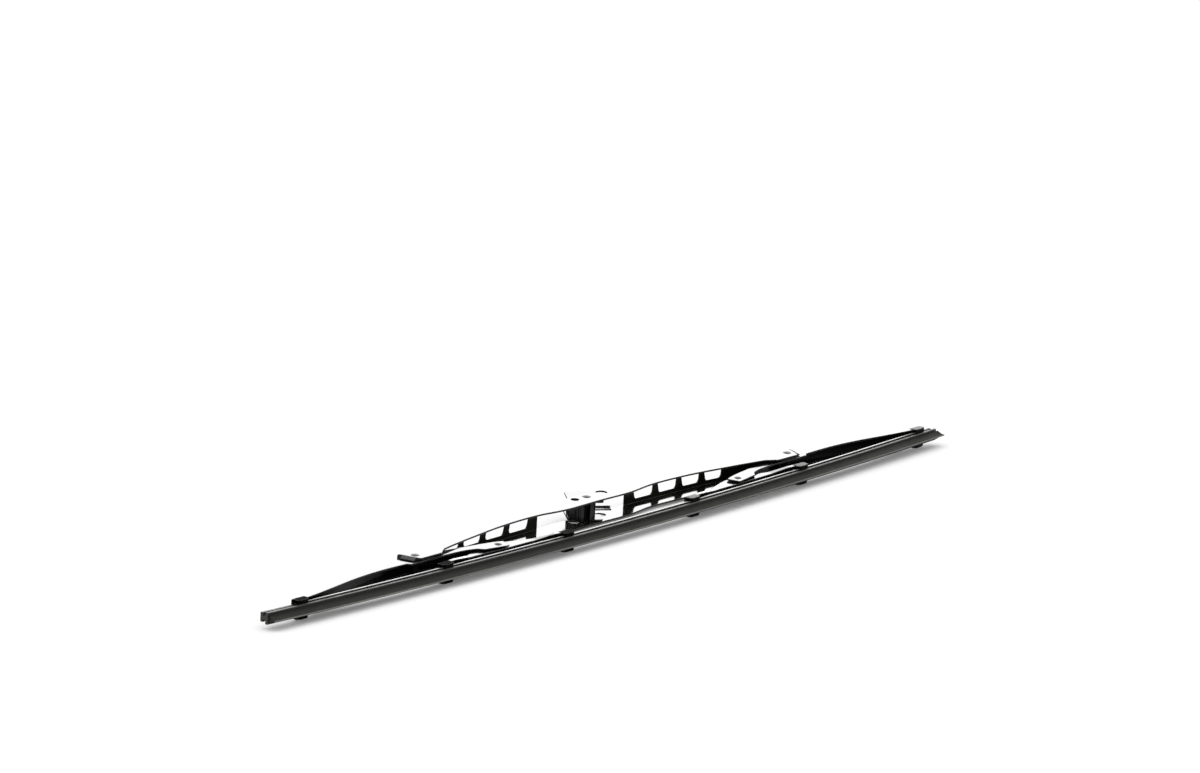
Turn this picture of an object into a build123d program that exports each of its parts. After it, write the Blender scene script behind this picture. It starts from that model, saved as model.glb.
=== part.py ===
from build123d import *
import math
import os

# A framed wiper blade with six claws, lying on its side as it comes to rest.
# Blade frame while building: X along the blade, Y from the lip to the spine, Z across the blade.
# All sizes are in millimetres.

# Rubber strip: depths run plus toward the spine and minus toward the lip
RUBBER_LENGTH = 526.0
RUBBER_SHIFT = -7.0
BOW_RISE = 9.7
BOW_REACH = 265.0
HEAD_BACK = 3.6
HEAD_FRONT = 1.7
HEAD_HALF = 2.6
RAIL_NECK_HALF = 1.0
FLANGE_BACK = -0.3
FLANGE_FRONT = -2.0
FLANGE_HALF = 3.2
NECK_HALF = 0.8
WEDGE_BACK = -2.8
WEDGE_HALF = 2.3
SHOULDER = 0.4
LIP_START = -6.9
LIP_END = -7.9
LIP_HALF = 0.35
FLANK_HOLLOW = 0.15

# Folded sheet of the levers
YOKE_HALF = 5.1
YOKE_SHEET = 0.8
YOKE_BEND = 0.9
BRIDGE_SHEET = 0.9
BRIDGE_BEND = 1.2

# Claws: distances of their middles from the blade's middle, and depths like the strip's
CLAW_NEAR = 49.7
CLAW_FAR = 140.2
CLAW_END = 243.4
CLAW_WIDE = 8.0
CLAW_HALF = YOKE_HALF + 0.3
CLAW_BEND = 1.0
CLAW_INSIDE_BACK = HEAD_BACK + 0.3
CLAW_OVERLAP = 0.7
FINGER_WIDE = 5.6
FINGER_BACK = FLANGE_BACK + 0.8
FINGER_FRONT = FLANGE_BACK + 0.1
FINGER_TIP = 2.0

# Spring rails in the rubber's side grooves, behind the claws' fingers
RAIL_BACK = HEAD_FRONT - 0.1
RAIL_FRONT = FINGER_BACK + 0.1
RAIL_INNER = RAIL_NECK_HALF + 0.1
RAIL_OUTER = YOKE_HALF - YOKE_SHEET - 0.5
RAIL_PAST_CLAW = 5.0

# Widths that follow from the yokes': liner, bridge, adapter, pinched claw yoke and its bush
SIDE_GAP = 0.3
LINER_GAP = 0.05
LINER_SIDE = 0.45
LINER_INSIDE = YOKE_HALF + SIDE_GAP
LINER_HALF = LINER_INSIDE + LINER_SIDE
BRIDGE_HALF = LINER_HALF + LINER_GAP + BRIDGE_SHEET
CHEEK_HALF = BRIDGE_HALF - BRIDGE_SHEET - SIDE_GAP
CHEEK_THICK = 0.95
PINCH_HALF = YOKE_HALF - YOKE_SHEET - 0.5
PINCH_REACH = 24.0
FLARE_REACH = 37.0
PINCH_BEND = 12.0
BUSH_R = 2.8
BUSH_HALF = PINCH_HALF - YOKE_SHEET - 0.1

# Pivots as distance along the blade and depth
BRIDGE_PIVOT = (147.0, 21.3)
YOKE_PIVOT = (94.8, 10.5)
PIN_AT = (0.0, 35.0)

# Rivets
BRIDGE_RIVET_R = 1.8
BRIDGE_RIVET_HEAD_R = 2.4
YOKE_RIVET_R = 1.5
YOKE_RIVET_HEAD_R = 2.1
PIN_R = 2.0
PIN_HEAD_R = 2.5
HEAD_HIGH = 0.7
FIXED_CLEAR = 0.02
RUNNING_CLEAR = 0.05

# Bridge outline seen along Z: points of the right half, from the middle out
BRIDGE_FRONT = [(0, 26.3), (30, 26.5), (41, 28.2), (56, 28.7), (78, 27.3), (95, 24.9), (112, 22.2),
                (127, 19.3)]
BRIDGE_BACK = [(0, 40.0), (35, 39.2), (60, 38.6), (105, 36.6), (130, 32.9), (147, 29.5), (153.3, 28.3)]
BRIDGE_EAR = [(133.2, 15.2), (148.8, 15.2)]
EAR_ROUND = 1.5

# Openings of the bridge: each window's sides lean by an inner and an outer amount
OPENING_HALF = 34.6
WINDOWS = [(41.7, 56.8), (60.7, 75.3), (79.3, 93.0), (96.9, 109.6)]
WINDOW_HALF = 3.5
WINDOW_ROUND = 1.8
LEFT_WINDOW_LEANS = (0.8, 0.8)
RIGHT_WINDOW_LEANS = (0.8, -0.3)
WIDE_SIDE_PIN_AT = 11.8
WIDE_SIDE_PIN_R = 3.25
NARROW_SIDE_PIN_AT = -9.0
NARROW_SIDE_PIN_R = 2.45

# Secondary yoke outline, right-hand one: square ear, deep walls at the bridge pivot, shallower outside it
SECONDARY_EAR = [(88.6, 13.0), (91.0, 5.4), (106.5, 8.5), (109.5, 11.8)]
SECONDARY_INNER = [(109.5, 11.8), (116, 13.8), (124, 14.7), (140, 15.1), (156, 15.1)]
SECONDARY_OUTER = [(157.5, 17.0), (168, 17.5), (180, 17.5), (201, 15.6), (214.5, 13.4), (227, 11.4),
                   (239.4, 9.9)]
SECONDARY_BACK = [(88.6, 13.0), (94.8, 15.3), (105, 17.6), (116, 19.8), (127, 22.1), (138, 24.6),
                  (147, 25.6), (160, 25.2), (186, 22.6), (205, 19.2), (225, 15.3), (239.4, 13.3)]
SECONDARY_EAR_ROUND = 0.8
SECONDARY_SPINE_START = 98.0

# Claw yoke outline, right-hand one
CLAW_YOKE_FRONT = [(45.7, 3.0), (57, 3.4), (66, 4.8), (80, 5.7), (94.8, 5.9), (110, 6.5), (122, 6.6),
                   (133, 5.6), (144.2, 5.4)]
CLAW_YOKE_BACK = [(45.7, 5.2), (55, 5.6), (68, 8.0), (82, 12.6), (94.8, 15.0), (107, 13.0), (121, 9.8),
                  (134, 8.0), (144.2, 7.6)]

# Plastic liner of the bridge's end, with a ramp outside the end from the yoke up to the bridge's wall
LINER_START = 138.0
LINER_FRONT = 15.4
LINER_THICK = 0.7
RAMP_WIDE = 3.0
RAMP_EDGE = 0.4
RAMP_DEPTH = (17.7, 25.3)

# Arm adapter in its own frame: pin at the origin, X toward the tongue, Y toward the arm
ADAPTER_TURN = -38.0
CHEEK_LEFT = -10.2
CHEEK_RIGHT = 9.0
CHEEK_SHOULDER = 4.3
CHEEK_BACK = 13.3
CHEEK_WAIST = 4.3
CHEEK_FRONT = -4.9
CHEEK_ROUND = 1.8
CORE_R = 5.2
CORE_LEFT = -9.5
TONGUE_END = 13.6
TONGUE_HALF = 2.4
TONGUE_THICK = 0.7
TONGUE_RIM_WIDE = 0.8
TONGUE_RIM_HIGH = 0.7
RIB_AT = -2.9
RIB_WIDE = 1.6
RIB_HIGH = 0.5
NOTCH_CLEAR = 0.2
SNAP_SLOT = 3.3
HEEL_HIGH = 2.0
HEEL_WIDE = 2.2

# How far cutting tools run past what they cut
PAST = 12.0

BOW_RADIUS = BOW_REACH ** 2 / (2 * BOW_RISE) + BOW_RISE / 2
BOW_AXIS = Axis((0, BOW_RADIUS, 0), (0, 0, 1))


def bow(x):
    """Depth of the bowed strip at a distance along the blade."""
    return BOW_RADIUS - math.sqrt(BOW_RADIUS ** 2 - x ** 2)


def along_bow(section, start, end):
    """Run a section of the YZ plane along the bowed strip."""
    start_turn = math.degrees(start / BOW_RADIUS)
    end_turn = math.degrees(end / BOW_RADIUS)
    return revolve(section.rotate(BOW_AXIS, start_turn), BOW_AXIS, end_turn - start_turn)


def block(x, y, z):
    """Box from three (low, high) pairs."""
    middle = Pos((x[0] + x[1]) / 2, (y[0] + y[1]) / 2, (z[0] + z[1]) / 2)
    return middle * Box(x[1] - x[0], y[1] - y[0], z[1] - z[0])


def across(face, half):
    """Extrude a side face to both sides of the mid-plane."""
    return extrude(face, half, both=True)


def cross_bore(at, radius):
    """Cylinder along Z for cutting a bore through both walls."""
    return Pos(*at) * Cylinder(radius, 4 * BRIDGE_HALF)


def both_sides(points):
    """Mirror the points of a right half to a whole row, left to right."""
    return [(-x, y) for x, y in reversed(points) if x] + points


def moved(points, along, depth):
    """Move outline points along the blade and in depth."""
    return [(x + along, y + depth) for x, y in points]


def hollow_face(back, sheet):
    """What a folded sheet leaves open in front of its spine, run out past both ends."""
    inner = moved(back, 0, -sheet)
    left = (inner[0][0] - PAST, inner[0][1])
    right = (inner[-1][0] + PAST, inner[-1][1])
    low = -4 * PAST
    rim = Polyline(inner[-1], right, (right[0], low), (left[0], low), left, inner[0])
    return make_face([Spline(*inner), rim])


def rounded(solid, edges, radius):
    return solid.fillet(radius, edges)


def wall_bends(solid, half, back):
    """Long outer edges where the walls fold into the spine."""
    middle = back[len(back) // 2]
    return [
        edge for edge in solid.edges()
        if abs(abs(edge.center().Z) - half) < 0.01
        and edge.length > 50
        and edge.distance_to(Vector(*middle, math.copysign(half, edge.center().Z))) < 0.1
    ]


def rubber_section():
    rows = [
        (HEAD_BACK, 0), (HEAD_BACK, HEAD_HALF), (HEAD_FRONT, HEAD_HALF), (HEAD_FRONT, RAIL_NECK_HALF),
        (FLANGE_BACK, RAIL_NECK_HALF), (FLANGE_BACK, FLANGE_HALF), (FLANGE_FRONT, FLANGE_HALF),
        (FLANGE_FRONT, NECK_HALF), (WEDGE_BACK, NECK_HALF), (WEDGE_BACK, WEDGE_HALF),
        (WEDGE_BACK - SHOULDER, WEDGE_HALF),
    ]
    flank = SagittaArc(rows[-1], (LIP_START, LIP_HALF), -FLANK_HOLLOW)
    lip = Polyline((LIP_START, LIP_HALF), (LIP_END, LIP_HALF), (LIP_END, 0), rows[0])
    half = make_face([Polyline(*rows), flank, lip])
    return Plane.YZ * (half + mirror(half, Plane.XZ))


def make_rubber():
    half = RUBBER_LENGTH / 2
    return along_bow(rubber_section(), RUBBER_SHIFT - half, RUBBER_SHIFT + half)


def make_rail(side):
    deep = RAIL_BACK - RAIL_FRONT
    wide = RAIL_OUTER - RAIL_INNER
    middle = ((RAIL_BACK + RAIL_FRONT) / 2, side * (RAIL_INNER + RAIL_OUTER) / 2)
    section = Plane.YZ * (Pos(*middle) * Rectangle(deep, wide))
    reach = CLAW_END + RAIL_PAST_CLAW
    return along_bow(section, -reach, reach)


def strip_room():
    """Room that every claw leaves for the strip and its rails."""
    inside = CLAW_HALF - YOKE_SHEET
    deep = CLAW_INSIDE_BACK - FINGER_BACK
    head = Pos(FINGER_BACK + deep / 2, 0) * Rectangle(deep, 2 * inside)
    mouth = Pos(FINGER_BACK - PAST / 2, 0) * Rectangle(PAST, 2 * FINGER_TIP)
    reach = BOW_REACH + PAST
    return along_bow(Plane.YZ * (head + mouth), -reach, reach)


def claw(at):
    """Wrapped end of a lever before the strip's room is cut out of it."""
    deep = bow(at)
    back = deep + CLAW_INSIDE_BACK + CLAW_OVERLAP
    wide = (at - CLAW_WIDE / 2, at + CLAW_WIDE / 2)
    wrap = block(wide, (deep + FINGER_BACK, back), (-CLAW_HALF, CLAW_HALF))
    wrap = rounded(wrap, wrap.edges().filter_by(Axis.X).group_by(Axis.Y)[-1], CLAW_BEND)
    middle = (CLAW_INSIDE_BACK + FINGER_FRONT) / 2
    fingers = Plane.YZ * (Pos(middle, 0) * Rectangle(CLAW_INSIDE_BACK - FINGER_FRONT, 2 * CLAW_HALF))
    return wrap + along_bow(fingers, at - FINGER_WIDE / 2, at + FINGER_WIDE / 2)


def make_bridge():
    """Arched U with ears at its ends, a windowed spine and an opening for the arm."""
    front = both_sides(BRIDGE_FRONT)
    back = both_sides(BRIDGE_BACK)
    ear_right = [front[-1], *BRIDGE_EAR, back[-1]]
    ear_left = [(-x, y) for x, y in ear_right]
    outline = make_face([Spline(*front), Polyline(*ear_right), Spline(*back), Polyline(*ear_left)])
    ends = [v for v in outline.vertices() if abs(v.X) > BRIDGE_EAR[0][0] - 1 and v.Y < BRIDGE_PIVOT[1]]
    outline = fillet(ends, EAR_ROUND)
    body = across(outline, BRIDGE_HALF)
    body = rounded(body, wall_bends(body, BRIDGE_HALF, back), BRIDGE_BEND)
    inside = BRIDGE_HALF - BRIDGE_SHEET
    body -= across(hollow_face(back, BRIDGE_SHEET), inside)
    deep = (BRIDGE_FRONT[0][1], BRIDGE_BACK[0][1] + PAST)
    body -= block((-OPENING_HALF, OPENING_HALF), deep, (-inside, inside))
    for low, high in WINDOWS:
        body -= window(-1, low, high, LEFT_WINDOW_LEANS)
        body -= window(1, low, high, RIGHT_WINDOW_LEANS)
    for side in (-1, 1):
        body -= cross_bore((side * BRIDGE_PIVOT[0], BRIDGE_PIVOT[1]), BRIDGE_RIVET_R + FIXED_CLEAR)
    body -= cross_bore(PIN_AT, PIN_R + FIXED_CLEAR)
    body -= cross_bore((WIDE_SIDE_PIN_AT, PIN_AT[1]), WIDE_SIDE_PIN_R)
    body -= cross_bore((NARROW_SIDE_PIN_AT, PIN_AT[1]), NARROW_SIDE_PIN_R)
    return body


def window(side, low, high, leans):
    """Cutter for one rounded window of the spine with leaning sides."""
    inner, outer = leans
    corners = [(low - inner, WINDOW_HALF), (low + inner, -WINDOW_HALF),
               (high + outer, -WINDOW_HALF), (high - outer, WINDOW_HALF)]
    face = make_face(Polyline(*[(side * x, z) for x, z in corners], close=True))
    face = fillet(face.vertices(), WINDOW_ROUND)
    start = Plane(origin=(0, BRIDGE_BACK[0][1] + PAST, 0), x_dir=(1, 0, 0), z_dir=(0, -1, 0))
    return extrude(start * face, 2 * PAST)


def make_secondary(room):
    """Right-hand secondary yoke: ears for the claw yoke at one end, a claw at the other."""
    claw_reach = CLAW_END + CLAW_WIDE / 2
    tip_front = SECONDARY_OUTER[-1]
    tip_back = SECONDARY_BACK[-1]
    outline = make_face([
        Polyline(*SECONDARY_EAR),
        Spline(*SECONDARY_INNER),
        Line(SECONDARY_INNER[-1], SECONDARY_OUTER[0]),
        Spline(*SECONDARY_OUTER),
        Polyline(tip_front, (claw_reach, tip_front[1]), (claw_reach, tip_back[1]), tip_back),
        Spline(*SECONDARY_BACK),
    ])
    corners = [v for v in outline.vertices() if v.X < SECONDARY_EAR[-1][0] - 1 and v.Y < YOKE_PIVOT[1]]
    outline = fillet(corners, SECONDARY_EAR_ROUND)
    body = across(outline, YOKE_HALF)
    body = rounded(body, wall_bends(body, YOKE_HALF, SECONDARY_BACK), YOKE_BEND)
    inside = YOKE_HALF - YOKE_SHEET
    body -= across(hollow_face(SECONDARY_BACK, YOKE_SHEET), inside)
    ear_end = SECONDARY_EAR[0][0]
    body -= block((ear_end - PAST, SECONDARY_SPINE_START), (-PAST, 3 * PAST), (-inside, inside))
    body += claw(CLAW_END)
    body -= room
    body -= cross_bore(BRIDGE_PIVOT, BRIDGE_RIVET_R + RUNNING_CLEAR)
    body -= cross_bore(YOKE_PIVOT, YOKE_RIVET_R + FIXED_CLEAR)
    return body


def plan_row(half):
    """Half widths of a claw yoke along the blade: wide at its claws, pinched at its pivot."""
    middle = YOKE_PIVOT[0]
    pinch = half - (YOKE_HALF - PINCH_HALF)
    past_near = CLAW_NEAR - PAST
    past_far = CLAW_FAR + PAST
    return [(past_near, half), (middle - FLARE_REACH, half), (middle - PINCH_REACH, pinch),
            (middle + PINCH_REACH, pinch), (middle + FLARE_REACH, half), (past_far, half)]


def plan_block(half):
    """Everything inside a claw yoke's plan, run out in depth."""
    upper = plan_row(half)
    lower = [(x, -z) for x, z in reversed(upper)]
    face = make_face(Polyline(*upper, *lower, close=True))
    bends = [v for v in face.vertices() if abs(v.X - YOKE_PIVOT[0]) < FLARE_REACH + 1]
    face = fillet(bends, PINCH_BEND)
    start = Plane(origin=(0, 4 * PAST, 0), x_dir=(1, 0, 0), z_dir=(0, -1, 0))
    return extrude(start * face, 8 * PAST)


def make_claw_yoke(room):
    """Right-hand claw yoke: a pinched U with a claw at each end."""
    front = CLAW_YOKE_FRONT
    back = CLAW_YOKE_BACK
    outline = make_face([Spline(*front), Line(front[-1], back[-1]), Spline(*back), Line(back[0], front[0])])
    body = across(outline, YOKE_HALF) & plan_block(YOKE_HALF)
    inside = YOKE_HALF - YOKE_SHEET
    body -= across(hollow_face(back, YOKE_SHEET), inside) & plan_block(inside)
    body += claw(CLAW_NEAR)
    body += claw(CLAW_FAR)
    body -= room
    body -= cross_bore(YOKE_PIVOT, YOKE_RIVET_R + RUNNING_CLEAR)
    return body


def end_point(depth, out):
    """Point of the bridge's right-hand end line at a depth, moved out along the blade."""
    ear = BRIDGE_EAR[-1]
    tip = BRIDGE_BACK[-1]
    return ear[0] + (tip[0] - ear[0]) * (depth - ear[1]) / (tip[1] - ear[1]) + out, depth


def make_ramp():
    """Right-hand liner's ramp on the upper side, run along the bridge's end line."""
    low = Vector(*end_point(RAMP_DEPTH[0], FIXED_CLEAR))
    along = Vector(*end_point(RAMP_DEPTH[1], FIXED_CLEAR)) - low
    rows = [(0, LINER_INSIDE), (0, BRIDGE_HALF), (RAMP_EDGE, BRIDGE_HALF),
            (RAMP_WIDE, LINER_INSIDE + RAMP_EDGE), (RAMP_WIDE, LINER_INSIDE)]
    section = Plane(low, x_dir=(along.Y, -along.X, 0), z_dir=along) * make_face(Polyline(*rows, close=True))
    return extrude(section, along.length, dir=along)


def make_liner():
    """Right-hand plastic liner: a plate inside each wall of the bridge's end, joined to a ramp outside it."""
    lining = BRIDGE_SHEET + LINER_GAP
    back = both_sides(BRIDGE_BACK)
    plate = make_face(Polyline((LINER_START, LINER_FRONT), end_point(LINER_FRONT, -EAR_ROUND),
                               end_point(RAMP_DEPTH[0], RAMP_EDGE), end_point(RAMP_DEPTH[1], RAMP_EDGE),
                               BRIDGE_BACK[-1], (LINER_START, BRIDGE_BACK[0][1]), close=True))
    body = across(hollow_face(back, lining), LINER_HALF) & across(plate, LINER_HALF)
    body -= across(hollow_face(back, lining + LINER_THICK), LINER_INSIDE)
    ramp = make_ramp()
    body += ramp + mirror(ramp, Plane.XY)
    return body - cross_bore(BRIDGE_PIVOT, BRIDGE_RIVET_R + FIXED_CLEAR)


def dome_ball(head_radius):
    """Radius of the ball that a rivet's domed head is cut from."""
    return (head_radius ** 2 + HEAD_HIGH ** 2) / (2 * HEAD_HIGH)


def dome(head_radius):
    """Domed rivet head standing on the XY plane."""
    ball = dome_ball(head_radius)
    upper = Pos(0, 0, HEAD_HIGH) * Cylinder(2 * head_radius, 2 * HEAD_HIGH)
    return Pos(0, 0, HEAD_HIGH - ball) * Sphere(ball) & upper


def make_rivet(at, radius, head_radius, half):
    """Shank with a domed head on each outer wall."""
    seat = half + FIXED_CLEAR
    head = Pos(0, 0, seat) * dome(head_radius)
    body = Cylinder(radius, 2 * (seat + FIXED_CLEAR)) + head + mirror(head, Plane.XY)
    return Pos(*at) * body


def make_bush():
    body = Pos(*YOKE_PIVOT) * Cylinder(BUSH_R, 2 * BUSH_HALF)
    return body - cross_bore(YOKE_PIVOT, YOKE_RIVET_R + RUNNING_CLEAR)


def notch_face():
    """Corner that the adapter leaves out, so that the narrow side-pin hole is free at rest."""
    turn = math.radians(ADAPTER_TURN)
    x = NARROW_SIDE_PIN_AT * math.cos(turn)
    y = -NARROW_SIDE_PIN_AT * math.sin(turn)
    radius = NARROW_SIDE_PIN_R + NOTCH_CLEAR
    corner = Rectangle(PAST, PAST, align=(Align.MAX, Align.MAX))
    return Pos(x, y) * Circle(radius) + Pos(x, y + radius) * corner + Pos(x + radius, y) * corner


def make_adapter():
    """Moulded hook clip: two cheeks, a round core that snaps on the pin, and a spring tongue."""
    cheek = make_face(Polyline((CHEEK_LEFT, CHEEK_FRONT), (CHEEK_RIGHT, CHEEK_FRONT),
                               (CHEEK_RIGHT, CHEEK_WAIST), (CHEEK_SHOULDER, CHEEK_WAIST),
                               (CHEEK_SHOULDER, CHEEK_BACK), (CHEEK_LEFT, CHEEK_BACK), close=True))
    cheek = fillet(cheek.vertices(), CHEEK_ROUND)
    hook_half = CHEEK_HALF - CHEEK_THICK
    body = across(cheek, CHEEK_HALF) - across(cheek, hook_half)
    core = Circle(CORE_R) + Pos(CORE_LEFT / 2, 0) * Rectangle(-CORE_LEFT, 2 * CORE_R)
    body += across(core, hook_half)
    heel = (CORE_LEFT, CORE_LEFT + HEEL_WIDE)
    body += block(heel, (0, CORE_R + HEEL_HIGH), (-hook_half, hook_half))
    rib = (RIB_AT - RIB_WIDE / 2, RIB_AT + RIB_WIDE / 2)
    body += block(rib, (-CORE_R - RIB_HIGH, 0), (-CHEEK_HALF, CHEEK_HALF))
    half_thick = TONGUE_THICK / 2
    body += block((0, TONGUE_END), (-TONGUE_HALF, TONGUE_HALF), (-half_thick, half_thick))
    rim = (TONGUE_HALF - TONGUE_RIM_WIDE, TONGUE_HALF)
    body += block((0, TONGUE_END), rim, (0, half_thick + TONGUE_RIM_HIGH))
    body -= across(notch_face(), 2 * CHEEK_HALF)
    body -= Cylinder(PIN_R + RUNNING_CLEAR, 4 * CHEEK_HALF)
    body -= block((-SNAP_SLOT / 2, SNAP_SLOT / 2), (-2 * CORE_R, 0), (-2 * CHEEK_HALF, 2 * CHEEK_HALF))
    return Pos(*PIN_AT) * Rot(0, 0, ADAPTER_TURN) * body


def mirrored(solid):
    return mirror(solid, Plane.YZ)


def rest_tilt():
    """Turn at which the bridge rivets' lower domes and the near claws' fingers share a floor."""
    ball = dome_ball(BRIDGE_RIVET_HEAD_R)
    depth = BRIDGE_PIVOT[1] - bow(CLAW_NEAR) - FINGER_FRONT
    rise = CLAW_HALF - (BRIDGE_HALF + FIXED_CLEAR + HEAD_HIGH - ball)
    return math.degrees(math.asin(ball / math.hypot(depth, rise)) - math.atan2(rise, depth))


room = strip_room()
nodes = {
    "primary_bridge": make_bridge(),
    "centre_pin": make_rivet(PIN_AT, PIN_R, PIN_HEAD_R, BRIDGE_HALF),
    "wiper_rubber": make_rubber(),
    "upper_rail": make_rail(1),
    "lower_rail": make_rail(-1),
    "arm_adapter": make_adapter(),
}
right_hand = {
    "secondary_yoke": make_secondary(room),
    "claw_yoke": make_claw_yoke(room),
    "bridge_liner": make_liner(),
    "bridge_rivet": make_rivet(BRIDGE_PIVOT, BRIDGE_RIVET_R, BRIDGE_RIVET_HEAD_R, BRIDGE_HALF),
    "yoke_rivet": make_rivet(YOKE_PIVOT, YOKE_RIVET_R, YOKE_RIVET_HEAD_R, YOKE_HALF),
    "yoke_bush": make_bush(),
}
for name, solid in right_hand.items():
    nodes["right_" + name] = solid
    nodes["left_" + name] = mirrored(solid)

# The blade tips forward off the bridge rivets' heads until its near claws meet the floor
REST_TILT = rest_tilt()
lying = {name: Rot(REST_TILT, 0, 0) * solid for name, solid in nodes.items()}
box = Compound(list(lying.values())).bounding_box()
to_origin = Pos(-box.center().X, -box.center().Y, -box.min.Z)

os.makedirs("parts", exist_ok=True)
for name, solid in lying.items():
    export_step(to_origin * solid, f"parts/{name}.step")
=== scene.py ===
import math

import bpy
from mathutils import Matrix, Vector


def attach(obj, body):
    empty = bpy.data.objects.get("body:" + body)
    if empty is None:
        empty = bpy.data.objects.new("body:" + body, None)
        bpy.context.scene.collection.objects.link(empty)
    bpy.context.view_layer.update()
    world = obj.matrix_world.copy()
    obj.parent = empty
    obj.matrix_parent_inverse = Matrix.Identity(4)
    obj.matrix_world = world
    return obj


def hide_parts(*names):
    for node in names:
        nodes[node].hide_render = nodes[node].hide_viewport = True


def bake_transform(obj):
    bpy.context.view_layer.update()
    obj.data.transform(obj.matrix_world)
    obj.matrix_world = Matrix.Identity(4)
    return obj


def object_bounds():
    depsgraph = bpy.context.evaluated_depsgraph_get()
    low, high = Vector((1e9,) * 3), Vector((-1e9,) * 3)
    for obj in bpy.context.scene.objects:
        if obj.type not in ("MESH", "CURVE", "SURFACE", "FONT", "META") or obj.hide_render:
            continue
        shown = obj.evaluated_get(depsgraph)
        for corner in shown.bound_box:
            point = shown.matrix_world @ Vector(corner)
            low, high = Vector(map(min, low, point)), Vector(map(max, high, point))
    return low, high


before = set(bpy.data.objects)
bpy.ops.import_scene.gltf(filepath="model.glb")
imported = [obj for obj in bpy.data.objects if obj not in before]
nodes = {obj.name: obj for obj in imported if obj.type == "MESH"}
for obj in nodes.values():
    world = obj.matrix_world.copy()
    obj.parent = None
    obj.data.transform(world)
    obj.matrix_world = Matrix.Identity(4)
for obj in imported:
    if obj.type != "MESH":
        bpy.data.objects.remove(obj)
cad_box = [list(corner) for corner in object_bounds()]

# The strip's sizes below are in millimetres, Blender's in metres
MM_IN_METRE = 1000.0

# Where the blade frame lies in the row frame: tipped about X, then moved
TILT = math.radians(5.7827)
SHIFT = (6.9968, -21.7216, 5.3621)

# Bow of the strip, from its rise over its reach
BOW_RISE = 9.7
BOW_REACH = 265.0
BOW_RADIUS = BOW_REACH ** 2 / (2 * BOW_RISE) + BOW_RISE / 2

# Stations along the strip: its ends, the claws and their reach, and where it has left the claw yoke
STRIP_LEFT = -270.0
STRIP_RIGHT = 256.0
RAIL_REACH = 248.4
CLAW_NEAR = 49.7
CLAW_FAR = 140.2
CLAW_END = 243.4
CLAW_REACH = 4.3
SETTLE = 33.0

# Half section of the rubber as (depth, half width, corner radius), from its back to its lip
RUBBER_HEAD = [
    (3.6, 0.0, 0.0), (3.6, 2.6, 0.4), (1.7, 2.6, 0.2), (1.7, 1.0, 0.15),
    (-0.3, 1.0, 0.15), (-0.3, 3.2, 0.2), (-2.0, 3.2, 0.3), (-2.0, 0.8, 0.2),
    (-2.8, 0.8, 0.2), (-2.8, 2.3, 0.15), (-3.2, 2.3, 0.15),
]
FLANK_START = (-3.2, 2.3)
FLANK_END = (-6.9, 0.35)
FLANK_HOLLOW = 0.15
LIP = [(-7.9, 0.35, 0.05), (-7.9, 0.0, 0.0)]

# The lip has taken a set: it lies straight at the left end and leans up toward the right end
LEAN_FROM = -2.4
LEAN_AT_TIP = 1.0

# Section of a rail as (depth, width, corner radius)
RAIL = [(1.6, 1.1, 0.12), (1.6, 3.8, 0.2), (0.6, 3.8, 0.2), (0.6, 1.1, 0.12)]

# Fineness of the strip's meshes
STATION_STEP = 1.5
ARC_STEPS = 4
FLANK_STEPS = 12
SHARP_FROM = math.radians(35)

# Stretches of the strip from each end to the middle: which lever holds each at its outer and inner end
STRETCHES = [
    ("end", CLAW_END, None, "secondary", "secondary"),
    ("outer", CLAW_FAR, CLAW_END, "secondary", "claws"),
    ("yoke", CLAW_NEAR, CLAW_FAR, "claws", "claws"),
    ("inner", SETTLE, CLAW_NEAR, "claws", "secondary"),
    ("middle", 0.0, SETTLE, "secondary", "bridge"),
]

# Depths over which the rubber changes: its coating, whose ramp is also painted shade under the flange; the lip
# edge's painted highlight; its sheen
COATING_AND_SHADE_BAND = (-2.8, -5.2)
LIP_HIGHLIGHT_BAND = (-7.5, -7.85)
SHEEN_BAND = (-2.6, -2.1)

# Colours; a pair is what a noise runs between
BRIDGE_BLACKS = ((0.008, 0.0078, 0.006), (0.016, 0.0155, 0.012))
YOKE_BLACKS = ((0.003, 0.003, 0.0028), (0.006, 0.006, 0.0056))
PAINT_SPECK = (0.025, 0.025, 0.025)
# Upper paint edges: a painted highlight, partly wear of the paint
EDGE_WEAR_AND_HIGHLIGHT = (0.22, 0.22, 0.215)
RAIL_GREYS = ((0.15, 0.15, 0.152), (0.23, 0.23, 0.23))
RAIL_STAIN = (0.13, 0.125, 0.115)
# Rail ends under the end claws: painted shade
RAIL_END_SHADE = (0.02, 0.02, 0.02)
RIVET_HEAD_GREYS = ((0.035, 0.035, 0.037), (0.09, 0.09, 0.092))
# Rivet shanks and other upright faces: painted shade
RIVET_SHANK_SHADE = (0.006, 0.006, 0.006)
RUBBER_BLACKS = ((0.006, 0.006, 0.0055), (0.010, 0.010, 0.009))
# Coated flank; the darker bare rubber left under the flange is partly painted shade
COATING_GREYS = ((0.021, 0.0215, 0.0185), (0.032, 0.0325, 0.028))
# Lip edge: a painted highlight
LIP_HIGHLIGHT = (0.15, 0.147, 0.14)
CLIP_BLACKS = ((0.006, 0.006, 0.0065), (0.013, 0.013, 0.0135))
LINER_GREYS = ((0.030, 0.030, 0.031), (0.055, 0.055, 0.057))
FLOOR_WHITES = ((0.89, 0.89, 0.89), (0.91, 0.91, 0.91))
WHITE = (1.0, 1.0, 1.0, 1.0)

# Rounding of painted and of other edges, in metres
PAINT_ROUND = 0.0007
EDGE_ROUND = 0.0002

# Claws are rubbed: how much rougher they are, and how much of the sheen is left on each side
RUBBED_ROUGHNESS = 0.35
RUBBED_SHEEN = {-1: 0.003, 1: 0.35}

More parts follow.
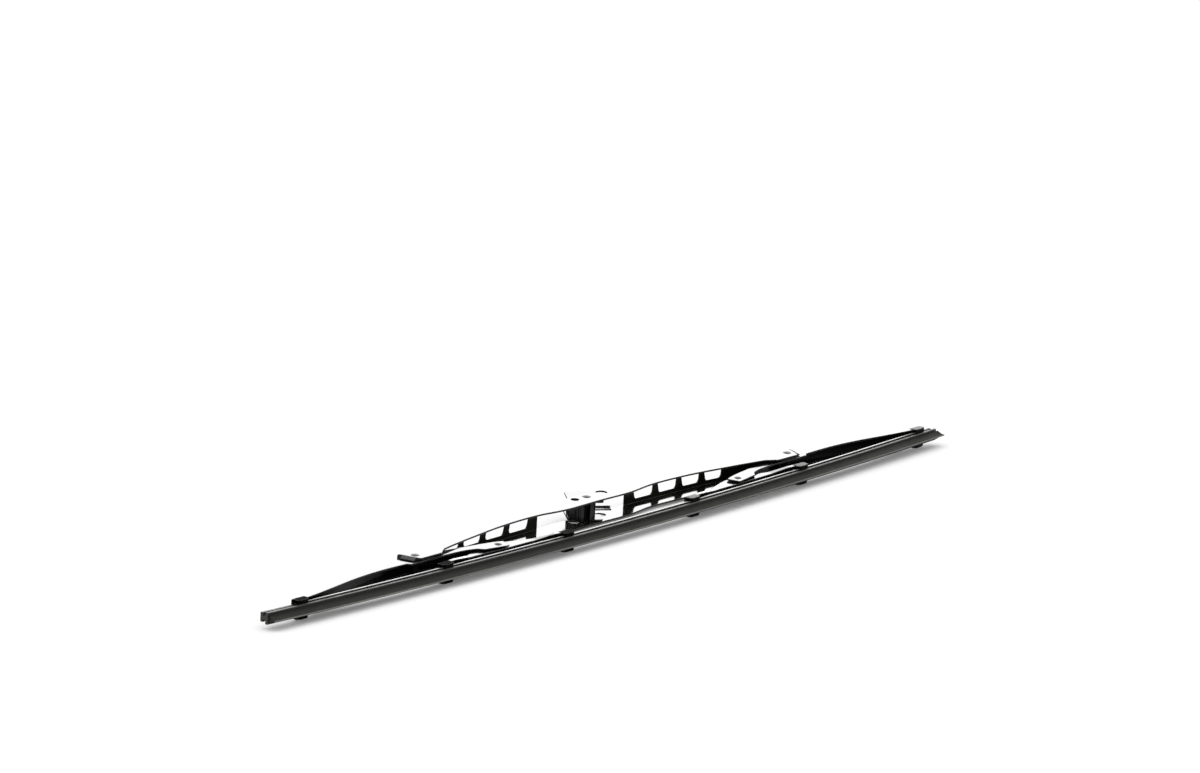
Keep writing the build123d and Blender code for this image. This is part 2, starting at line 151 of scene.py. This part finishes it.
# Studio: light from all round, what lifts the floor to white, and lamps as (toward, strength, degrees wide)
AMBIENT = 0.80
FLOOR_LIFT = 0.12
BACK_LAMP = ((0.70, 0.61, 0.52), 3.0, 60.0)
TOP_LAMP = ((-0.45, -0.5, 1.0), 1.0, 90.0)
FLOOR_REACH = 14.0
FLOOR_RINGS = 6
FLOOR_SPOKES = 64
FLOOR_GAP = 0.00005

# Camera, fitted to the photo
CAMERA_PLACE = (-3.494284, -3.277190, 1.167315)
CAMERA_RIGHT = Vector((0.679402, -0.733405, -0.02302))
CAMERA_UP = Vector((0.177787, 0.134096, 0.97489))
CAMERA_AWAY = Vector((0.711902, 0.666435, -0.221495))
CAMERA_LENS = 275.57
CAMERA_SENSOR = 36.0
CAMERA_FAR = 200.0


def place(x, y, z):
    """Blade-frame millimetres to row-frame metres."""
    deep = y * math.cos(TILT) - z * math.sin(TILT)
    high = y * math.sin(TILT) + z * math.cos(TILT)
    return Vector((x + SHIFT[0], deep + SHIFT[1], high + SHIFT[2])) / MM_IN_METRE


def on_bow(along, depth, z):
    """Point of the bowed strip."""
    turn = along / BOW_RADIUS
    reach = BOW_RADIUS - depth
    return place(reach * math.sin(turn), BOW_RADIUS - reach * math.cos(turn), z)


def lip_lean(along, depth):
    """How far the set of the lip lifts a point of the strip."""
    share = min(1.0, max(0.0, (along - STRIP_LEFT) / (STRIP_RIGHT - STRIP_LEFT)))
    below = min(1.0, max(0.0, (depth - LEAN_FROM) / (LIP[0][0] - LEAN_FROM)))
    return LEAN_AT_TIP * share * share * below


def round_corners(corners):
    """Swap each corner with a radius for a short arc."""
    points = []
    count = len(corners)
    for i, (y, z, radius) in enumerate(corners):
        if radius == 0.0:
            points.append((y, z))
            continue
        at = Vector((y, z))
        before = (Vector(corners[(i - 1) % count][:2]) - at).normalized()
        after = (Vector(corners[(i + 1) % count][:2]) - at).normalized()
        opening = before.angle(after)
        cut = radius / math.tan(opening / 2)
        centre = at + (before + after).normalized() * radius / math.sin(opening / 2)
        start = at + before * cut - centre
        end = at + after * cut - centre
        arc = start.angle(end)
        for k in range(ARC_STEPS + 1):
            t = k / ARC_STEPS
            a = math.sin((1 - t) * arc) / math.sin(arc)
            b = math.sin(t * arc) / math.sin(arc)
            points.append(tuple(centre + start * a + end * b))
    return points


def rubber_loop():
    """Closed section of the rubber, once round."""
    flank = []
    for k in range(1, FLANK_STEPS):
        t = k / FLANK_STEPS
        y = FLANK_START[0] + t * (FLANK_END[0] - FLANK_START[0])
        z = FLANK_START[1] + t * (FLANK_END[1] - FLANK_START[1])
        flank.append((y, z - FLANK_HOLLOW * 4 * t * (1 - t), 0.0))
    half = round_corners(RUBBER_HEAD + flank + [(*FLANK_END, 0.0)] + LIP)
    return half + [(y, -z) for y, z in reversed(half[1:-1])]


def rail_loop(side):
    """Closed section of the upper (1) or lower (-1) rail."""
    return [(y, side * z) for y, z in round_corners(RAIL)]


def sweep(name, loops, start, end, capped):
    """Run section loops along the bow; capped names the ends that are cut faces."""
    count = max(2, math.ceil((end - start) / STATION_STEP) + 1)
    stations = [start + (end - start) * i / (count - 1) for i in range(count)]
    verts, faces, depths = [], [], []
    for loop in loops:
        base = len(verts)
        size = len(loop)
        for along in stations:
            verts += [on_bow(along, y, z + lip_lean(along, y)) for y, z in loop]
            depths += [y for y, z in loop]
        for i in range(count - 1):
            for k in range(size):
                a = base + i * size + k
                b = base + i * size + (k + 1) % size
                faces.append((a, b, b + size, a + size))
        if "start" in capped:
            faces.append(tuple(base + k for k in reversed(range(size))))
        if "end" in capped:
            faces.append(tuple(base + (count - 1) * size + k for k in range(size)))
    mesh = bpy.data.meshes.new(name)
    mesh.from_pydata(verts, [], faces)
    mesh.attributes.new("depth", "FLOAT", "POINT").data.foreach_set("value", depths)
    mesh.shade_smooth()
    mesh.set_sharp_from_angle(angle=SHARP_FROM)
    piece = bpy.data.objects.new(name, mesh)
    bpy.context.scene.collection.objects.link(piece)
    return piece


def follow(piece, side, outer_body, inner_body):
    """Attach a stretch held at both ends by one lever to that lever; a stretch held by two levers is only
    baked in place.
    """
    def body(kind):
        return kind if kind == "bridge" else f"{side}_{kind}"

    if outer_body == inner_body:
        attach(piece, body(outer_body))
    else:
        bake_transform(piece)


def new_material(name):
    """New material with its node tree and shader."""
    material = bpy.data.materials.new(name)
    material.use_nodes = True
    tree = material.node_tree
    return material, tree, tree.nodes["Principled BSDF"]


def add(tree, kind, **values):
    """New node; a value goes to the node's property of that name, or else to its input."""
    node = tree.nodes.new(kind)
    for key, value in values.items():
        if hasattr(node, key):
            setattr(node, key, value)
        else:
            node.inputs[key].default_value = value
    return node


def coordinates(tree, stretch=(1, 1, 1)):
    """Object coordinates in metres, stretched."""
    source = add(tree, "ShaderNodeTexCoord")
    mapping = add(tree, "ShaderNodeMapping", Scale=stretch)
    tree.links.new(source.outputs["Object"], mapping.inputs["Vector"])
    return mapping.outputs["Vector"]


def noise(tree, vector, scale, detail=2.0, roughness=0.5):
    """Noise from 0 to 1 over a vector."""
    node = add(tree, "ShaderNodeTexNoise", Scale=scale, Detail=detail, Roughness=roughness)
    tree.links.new(vector, node.inputs["Vector"])
    return node.outputs["Fac"]


def spread(tree, value, source, target=(0.0, 1.0)):
    """Map a range of a value onto another, clamped."""
    node = add(tree, "ShaderNodeMapRange")
    for socket, number in zip(("From Min", "From Max", "To Min", "To Max"), (*source, *target)):
        node.inputs[socket].default_value = number
    tree.links.new(value, node.inputs["Value"])
    return node.outputs["Result"]


def blend_colour(tree, factor, a, b):
    """Mix of two colours, each a plain one or a socket."""
    node = add(tree, "ShaderNodeMix", data_type="RGBA")
    for index, colour in ((6, a), (7, b)):
        if isinstance(colour, tuple):
            node.inputs[index].default_value = (*colour, 1.0)
        else:
            tree.links.new(colour, node.inputs[index])
    tree.links.new(factor, node.inputs[0])
    return node.outputs[2]


def bump(tree, height, depth, normal=None):
    """Bump of a given depth in metres."""
    node = add(tree, "ShaderNodeBump", Distance=depth)
    tree.links.new(height, node.inputs["Height"])
    if normal is not None:
        tree.links.new(normal, node.inputs["Normal"])
    return node.outputs["Normal"]


def soft_edges(tree, radius):
    """Normal that rounds hard edges by a radius in metres."""
    return add(tree, "ShaderNodeBevel", samples=6, Radius=radius).outputs["Normal"]


def math_node(tree, operation, *values):
    """Math node fed with sockets or plain numbers."""
    node = add(tree, "ShaderNodeMath", operation=operation)
    for socket, value in zip(node.inputs, values):
        if isinstance(value, (int, float)):
            socket.default_value = value
        else:
            tree.links.new(value, socket)
    return node.outputs[0]


def axis_of(tree, vector, axis):
    """One axis of a vector."""
    split = add(tree, "ShaderNodeSeparateXYZ")
    tree.links.new(vector, split.inputs[0])
    return split.outputs[axis]


def upward(tree):
    """How far the surface faces up, from -1 to 1."""
    return axis_of(tree, add(tree, "ShaderNodeNewGeometry").outputs["Normal"], "Z")


def near_mask(tree, stations):
    """1 within a claw's reach of the given stations along the strip, 0 elsewhere."""
    along = axis_of(tree, coordinates(tree), "X")
    mask = 0.0
    for station in stations:
        middle = (station + SHIFT[0]) / MM_IN_METRE
        near = math_node(tree, "COMPARE", along, middle, CLAW_REACH / MM_IN_METRE)
        mask = math_node(tree, "MAXIMUM", mask, near)
    return mask


def make_paint(name, blacks, claws=()):
    """Gloss black paint, rubbed on the claws, most of all on the left ones, with its upper edges lightened by
    a painted highlight and partly by wear.
    """
    material, tree, shader = new_material(name)
    plain = coordinates(tree)
    specks = spread(tree, noise(tree, plain, scale=2600.0, detail=1.0), (0.68, 0.78))
    tone = spread(tree, noise(tree, plain, scale=45.0, detail=3.0), (0.3, 0.7))
    body = blend_colour(tree, specks, blend_colour(tree, tone, *blacks), PAINT_SPECK)
    eased = soft_edges(tree, PAINT_ROUND)
    # Upper edges of upright faces lightened: a painted highlight, partly wear of the paint
    tipped = spread(tree, axis_of(tree, eased, "Z"), (0.25, 0.6))
    wear_and_highlight = math_node(tree, "MULTIPLY", tipped, spread(tree, upward(tree), (0.2, 0.4), (1.0, 0.0)))
    tree.links.new(blend_colour(tree, wear_and_highlight, body, EDGE_WEAR_AND_HIGHLIGHT), shader.inputs["Base Color"])
    ripple = bump(tree, noise(tree, plain, scale=620.0), depth=0.000005, normal=eased)
    tree.links.new(ripple, shader.inputs["Normal"])
    gloss = spread(tree, noise(tree, plain, scale=90.0, detail=4.0), (0.3, 0.75), (0.07, 0.15))
    layer = add(tree, "ShaderNodeLayerWeight", Blend=0.5)
    tree.links.new(eased, layer.inputs["Normal"])
    sheen = spread(tree, layer.outputs["Facing"], (0.40, 0.70), (0.05, 0.55))
    if claws:
        for sign, sheen_left in RUBBED_SHEEN.items():
            rubbed = near_mask(tree, [sign * claw for claw in claws])
            gloss = math_node(tree, "MULTIPLY_ADD", rubbed, RUBBED_ROUGHNESS, gloss)
            sheen = math_node(tree, "MULTIPLY", sheen, spread(tree, rubbed, (0.0, 1.0), (1.0, sheen_left)))
    tree.links.new(gloss, shader.inputs["Roughness"])
    tree.links.new(sheen, shader.inputs["Specular IOR Level"])
    return material


def make_rail_steel():
    """Drawn spring steel, a little stained, darkened near its ends under the end claws as painted shade."""
    material, tree, shader = new_material("spring_steel")
    drawn = coordinates(tree, (6, 900, 900))
    lines = noise(tree, drawn, scale=4.0, detail=4.0, roughness=0.6)
    stain = spread(tree, noise(tree, coordinates(tree), scale=70.0, detail=3.0), (0.45, 0.75))
    body = blend_colour(tree, stain, blend_colour(tree, lines, *RAIL_GREYS), RAIL_STAIN)
    # Painted shade at the rail ends, where the end claws cover them
    end_shade = near_mask(tree, (-RAIL_REACH, RAIL_REACH))
    tree.links.new(blend_colour(tree, end_shade, body, RAIL_END_SHADE), shader.inputs["Base Color"])
    tree.links.new(spread(tree, lines, (0.3, 0.7), (0.22, 0.38)), shader.inputs["Roughness"])
    tree.links.new(bump(tree, lines, depth=0.000004), shader.inputs["Normal"])
    shader.inputs["Metallic"].default_value = 1.0
    return material


def make_rivet_steel():
    """Coated rivets with hammered heads that show wear, and shanks and other upright faces darkened as painted
    shade.
    """
    material, tree, shader = new_material("coated_rivet")
    plain = coordinates(tree)
    wear = spread(tree, noise(tree, plain, scale=900.0, detail=3.0), (0.45, 0.75))
    head = blend_colour(tree, wear, *RIVET_HEAD_GREYS)
    # Upright faces, mostly shanks between the bridge's walls, darkened as painted shade
    on_head = spread(tree, math_node(tree, "ABSOLUTE", upward(tree)), (0.2, 0.5))
    tree.links.new(blend_colour(tree, on_head, RIVET_SHANK_SHADE, head), shader.inputs["Base Color"])
    tree.links.new(spread(tree, on_head, (0.0, 1.0), (0.05, 0.5)), shader.inputs["Specular IOR Level"])
    tree.links.new(spread(tree, wear, (0.0, 1.0), (0.38, 0.55)), shader.inputs["Roughness"])
    hammered = bump(tree, noise(tree, plain, scale=1100.0), depth=0.00003, normal=soft_edges(tree, EDGE_ROUND))
    tree.links.new(hammered, shader.inputs["Normal"])
    return material


def make_rubber():
    """Black extruded rubber: a dull coating runs down to the lip, its ramp also painted shade that keeps the
    flank darker under the flange; the lip's edge is lightened as a painted highlight.
    """
    material, tree, shader = new_material("strip_rubber")
    plain = coordinates(tree)
    drawn = coordinates(tree, (5, 700, 700))
    depth = add(tree, "ShaderNodeAttribute", attribute_name="depth").outputs["Fac"]
    lines = noise(tree, drawn, scale=3.0, detail=4.0, roughness=0.6)
    bloom = noise(tree, plain, scale=120.0, detail=4.0, roughness=0.6)
    bare = blend_colour(tree, bloom, *RUBBER_BLACKS)
    coated = blend_colour(tree, lines, *COATING_GREYS)
    # Coating ramp, partly painted shade: darker under the flange, lighter toward the lip
    flank = blend_colour(tree, spread(tree, depth, COATING_AND_SHADE_BAND), bare, coated)
    # Lighter lip edge: a painted highlight
    lip_highlight_mask = spread(tree, depth, LIP_HIGHLIGHT_BAND)
    tree.links.new(blend_colour(tree, lip_highlight_mask, flank, LIP_HIGHLIGHT), shader.inputs["Base Color"])
    tree.links.new(spread(tree, bloom, (0.3, 0.7), (0.50, 0.66)), shader.inputs["Roughness"])
    skin = bump(tree, noise(tree, plain, scale=2400.0), depth=0.000008)
    tree.links.new(bump(tree, lines, depth=0.000010, normal=skin), shader.inputs["Normal"])
    tree.links.new(spread(tree, depth, SHEEN_BAND, (0.02, 0.5)), shader.inputs["Specular IOR Level"])
    return material


def make_plastic(name, colours, gloss, grain):
    """Moulded plastic with a range of roughness and a grain of a depth in metres."""
    material, tree, shader = new_material(name)
    plain = coordinates(tree)
    tone = noise(tree, plain, scale=160.0, detail=3.0)
    tree.links.new(blend_colour(tree, tone, *colours), shader.inputs["Base Color"])
    fine = noise(tree, plain, scale=3200.0)
    tree.links.new(spread(tree, fine, (0.3, 0.7), gloss), shader.inputs["Roughness"])
    tree.links.new(bump(tree, fine, grain, soft_edges(tree, EDGE_ROUND)), shader.inputs["Normal"])
    return material, tree, shader


def make_clip_plastic():
    """Satin black moulding: level faces shine, and upright ones only where they are seen head on."""
    material, tree, shader = make_plastic("satin_black_moulding", CLIP_BLACKS, (0.18, 0.26), grain=0.000008)
    level = spread(tree, math_node(tree, "ABSOLUTE", upward(tree)), (0.3, 0.7), (0.0, 0.5))
    facing = add(tree, "ShaderNodeLayerWeight", Blend=0.5).outputs["Facing"]
    head_on = spread(tree, facing, (0.2, 0.6), (0.30, 0.0))
    tree.links.new(math_node(tree, "MAXIMUM", level, head_on), shader.inputs["Specular IOR Level"])
    return material


def make_liner_plastic():
    """Dull dark grey moulding with fine ribs across the blade."""
    material, tree, shader = make_plastic("dark_grey_moulding", LINER_GREYS, (0.50, 0.62), grain=0.000015)
    ribs = add(tree, "ShaderNodeTexWave", bands_direction="Y", Scale=290.0)
    tree.links.new(coordinates(tree), ribs.inputs["Vector"])
    under = shader.inputs["Normal"].links[0].from_socket
    tree.links.new(bump(tree, ribs.outputs["Fac"], depth=0.00012, normal=under), shader.inputs["Normal"])
    shader.inputs["Specular IOR Level"].default_value = 0.12
    return material


def seen_directly(tree):
    """1 for what the camera, gloss and glass show, 0 for what lights diffuse surfaces."""
    path = add(tree, "ShaderNodeLightPath").outputs
    mirrored = math_node(tree, "MAXIMUM", path["Is Glossy Ray"], path["Is Transmission Ray"])
    return math_node(tree, "MAXIMUM", path["Is Camera Ray"], mirrored)


def make_floor_material():
    """Pale floor that keeps the shadow; what camera and gloss see of it is lifted to white."""
    material, tree, shader = new_material("pale_floor")
    tone = noise(tree, coordinates(tree), scale=3.0)
    tree.links.new(blend_colour(tree, tone, *FLOOR_WHITES), shader.inputs["Base Color"])
    shader.inputs["Roughness"].default_value = 0.9
    shader.inputs["Specular IOR Level"].default_value = 0.0
    shader.inputs["Emission Color"].default_value = WHITE
    lift = math_node(tree, "MULTIPLY", seen_directly(tree), FLOOR_LIFT)
    tree.links.new(lift, shader.inputs["Emission Strength"])
    return material


def make_floor():
    """Round floor with a rim of many points, just under the blade's lowest points."""
    verts, faces = [(0.0, 0.0, 0.0)], []
    for ring in range(1, FLOOR_RINGS + 1):
        radius = FLOOR_REACH * (ring / FLOOR_RINGS) ** 2
        for k in range(FLOOR_SPOKES):
            turn = math.tau * k / FLOOR_SPOKES
            verts.append((radius * math.cos(turn), radius * math.sin(turn), 0.0))
    for k in range(FLOOR_SPOKES):
        faces.append((0, 1 + k, 1 + (k + 1) % FLOOR_SPOKES))
    for ring in range(FLOOR_RINGS - 1):
        for k in range(FLOOR_SPOKES):
            a = 1 + ring * FLOOR_SPOKES + k
            b = 1 + ring * FLOOR_SPOKES + (k + 1) % FLOOR_SPOKES
            faces.append((a, a + FLOOR_SPOKES, b + FLOOR_SPOKES, b))
    mesh = bpy.data.meshes.new("floor")
    mesh.from_pydata(verts, [], faces)
    floor = bpy.data.objects.new("floor", mesh)
    floor.location.z = cad_box[0][2] - FLOOR_GAP
    bpy.context.scene.collection.objects.link(floor)
    floor.data.materials.append(make_floor_material())


def make_sun(name, toward, strength, degrees_wide, diffuse):
    """Wide soft lamp whose middle lies toward a direction; without diffuse it is only mirrored in gloss."""
    lamp = bpy.data.lights.new(name, "SUN")
    lamp.energy = strength
    lamp.angle = math.radians(degrees_wide)
    holder = bpy.data.objects.new(name, lamp)
    holder.rotation_mode = "QUATERNION"
    holder.rotation_quaternion = Vector(toward).to_track_quat("Z", "Y")
    holder.visible_camera = False
    holder.visible_diffuse = diffuse
    bpy.context.scene.collection.objects.link(holder)


def make_world():
    """Even light from all round, which is white where it is seen."""
    world = bpy.data.worlds.new("studio")
    bpy.context.scene.world = world
    world.use_nodes = True
    tree = world.node_tree
    back = tree.nodes["Background"]
    back.inputs["Color"].default_value = WHITE
    level = spread(tree, seen_directly(tree), (0.0, 1.0), (AMBIENT, 1.0))
    tree.links.new(level, back.inputs["Strength"])


def make_camera():
    """Camera at the photo's place and angle."""
    data = bpy.data.cameras.new("camera")
    data.lens = CAMERA_LENS
    data.sensor_width = CAMERA_SENSOR
    data.clip_end = CAMERA_FAR
    camera = bpy.data.objects.new("camera", data)
    turn = Matrix((CAMERA_RIGHT, CAMERA_UP, -CAMERA_AWAY)).transposed().to_4x4()
    camera.matrix_world = Matrix.Translation(CAMERA_PLACE) @ turn
    bpy.context.scene.collection.objects.link(camera)
    bpy.context.scene.camera = camera


bridge_paint = make_paint("bridge_paint", BRIDGE_BLACKS)
secondary_paint = make_paint("secondary_paint", YOKE_BLACKS, (CLAW_END,))
claw_yoke_paint = make_paint("claw_yoke_paint", YOKE_BLACKS, (CLAW_NEAR, CLAW_FAR))
rail_steel = make_rail_steel()
rivet_steel = make_rivet_steel()
rubber = make_rubber()
clip_plastic = make_clip_plastic()
liner_plastic = make_liner_plastic()

for name, piece in nodes.items():
    if name == "primary_bridge":
        material = bridge_paint
    elif name.endswith("_secondary_yoke"):
        material = secondary_paint
    elif name.endswith("_claw_yoke"):
        material = claw_yoke_paint
    elif name.endswith("_rivet") or name == "centre_pin":
        material = rivet_steel
    elif name == "arm_adapter":
        material = clip_plastic
    else:
        material = liner_plastic
    piece.data.materials.clear()
    piece.data.materials.append(material)

for side, sign, rubber_end in (("left", -1, STRIP_LEFT), ("right", 1, STRIP_RIGHT)):
    extrusions = (
        ("rubber", [rubber_loop()], rubber_end, rubber, ("wiper_rubber",), "strip_rubber"),
        ("rails", [rail_loop(1), rail_loop(-1)], sign * RAIL_REACH, rail_steel,
         ("upper_rail", "lower_rail"), "rail_steel"),
    )
    for part, near, far, outer_body, inner_body in STRETCHES:
        for kind, loops, tip, material, replaced, slot in extrusions:
            far_at = tip if far is None else sign * far
            low, high = sorted((sign * near, far_at))
            capped = () if far is not None else (("start",) if sign < 0 else ("end",))
            piece = sweep(f"{kind}_{side}_{part}", loops, low, high, capped)
            piece.data.materials.append(material)
            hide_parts(*replaced)
            follow(piece, side, outer_body, inner_body)

make_floor()
make_sun("back_soft", *BACK_LAMP, diffuse=False)
make_sun("top_soft", *TOP_LAMP, diffuse=True)
make_world()
make_camera()
bpy.context.scene.view_settings.view_transform = "Standard"
